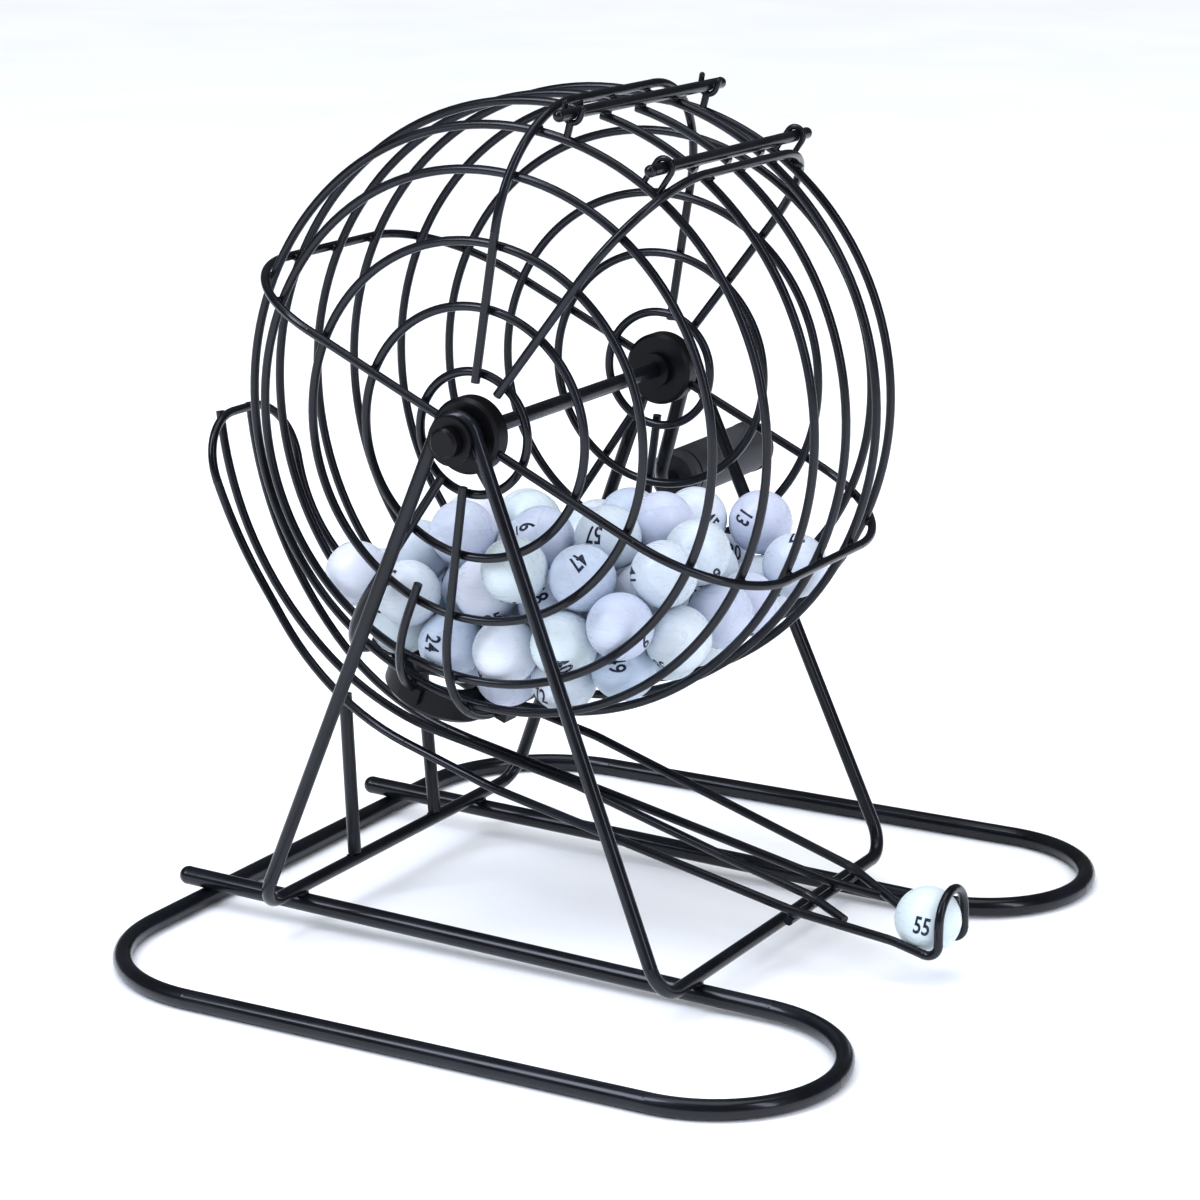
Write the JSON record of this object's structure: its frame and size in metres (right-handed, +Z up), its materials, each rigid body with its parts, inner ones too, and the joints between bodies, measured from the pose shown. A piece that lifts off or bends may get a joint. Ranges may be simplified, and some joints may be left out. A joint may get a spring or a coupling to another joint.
{
  "type": "bingo cage",
  "caption": "Tabletop bingo cage: a spherical wire drum of numbered balls on a bent-wire stand, turned by a hand crank, with a loading door, a ball port and a wire chute.",
  "frame": {"origin": "on the table, straight below the middle of the drum axle", "axes": "+Z up, +X along the axle towards the crank, -Y towards the front, where the called ball stops"},
  "size_m": [0.2365, 0.2262, 0.2228],
  "materials": {
    "black_wire": "gloss",
    "black_plastic": "satin",
    "grip_plastic": "satin",
    "ball_plastic": "gloss",
    "plated_nut": "satin"
  },
  "bodies": {
    "stand": {"base_wire": "black_wire", "leg_frame": "black_wire", "left_bearing": "black_plastic", "right_bearing": "black_plastic", "chute_rail": "black_wire", "chute_floor_left": "black_wire", "chute_floor_right": "black_wire", "chute_tie": "black_wire", "chute_post_left": "black_wire", "chute_post_right": "black_wire", "loose_balls": "ball_plastic"},
    "cage": {"crank_axle": "black_wire", "axle_end_cap": "black_plastic", "left_hub": "black_plastic", "right_hub": "black_plastic", "left_face_ring_1": "black_wire", "left_face_ring_2": "black_wire", "left_face_ring_3": "black_wire", "left_edge_ring": "black_wire", "left_shoulder_ring": "black_wire", "left_barrel_ring_front": "black_wire", "left_barrel_ring_rear": "black_wire", "middle_barrel_ring": "black_wire", "right_barrel_ring": "black_wire", "right_shoulder_ring": "black_wire", "right_edge_ring": "black_wire", "right_face_ring_3": "black_wire", "right_face_ring_2": "black_wire", "right_face_ring_1": "black_wire", "hub_rib_front": "black_wire", "hub_rib_rear": "black_wire", "door_rib_lower": "black_wire", "door_rib_upper": "black_wire", "port_rib_lower": "black_wire", "port_rib_upper": "black_wire", "port_stub_left": "black_wire", "port_stub_right": "black_wire", "ball_port": "black_plastic", "hinge_eye_left": "black_wire", "hinge_eye_right": "black_wire", "latch_clip_left": "black_wire", "latch_clip_right": "black_wire", "grip_nut": "plated_nut"},
    "door": {"door_hinge_rod": "black_wire", "door_latch_rod": "black_wire", "door_bar_left": "black_wire", "door_bar_middle": "black_wire", "door_bar_right": "black_wire"},
    "grip": {"grip": "grip_plastic"},
    "called_ball": {"called_ball": "ball_plastic"}
  },
  "joints": [
    {"name": "cage_spin", "type": "hinge", "parent": "stand", "child": "cage", "pos_m": [0, 0, 0.141], "axis": [1, 0, 0], "continuous": true},
    {"name": "door_hinge", "type": "hinge", "parent": "cage", "child": "door", "pos_m": [0, -0.04645, 0.20858], "axis": [1, 0, 0], "range_deg": [0, 180]},
    {"name": "grip_spin", "type": "hinge", "parent": "cage", "child": "grip", "pos_m": [0.0995, 0.00983, 0.10429], "axis": [1, 0, 0], "continuous": true},
    {"name": "called_ball_roll", "type": "slide", "parent": "stand", "child": "called_ball", "axis": [0, 0.9411, 0.3381], "range_m": [0, 0.045]}
  ]
}
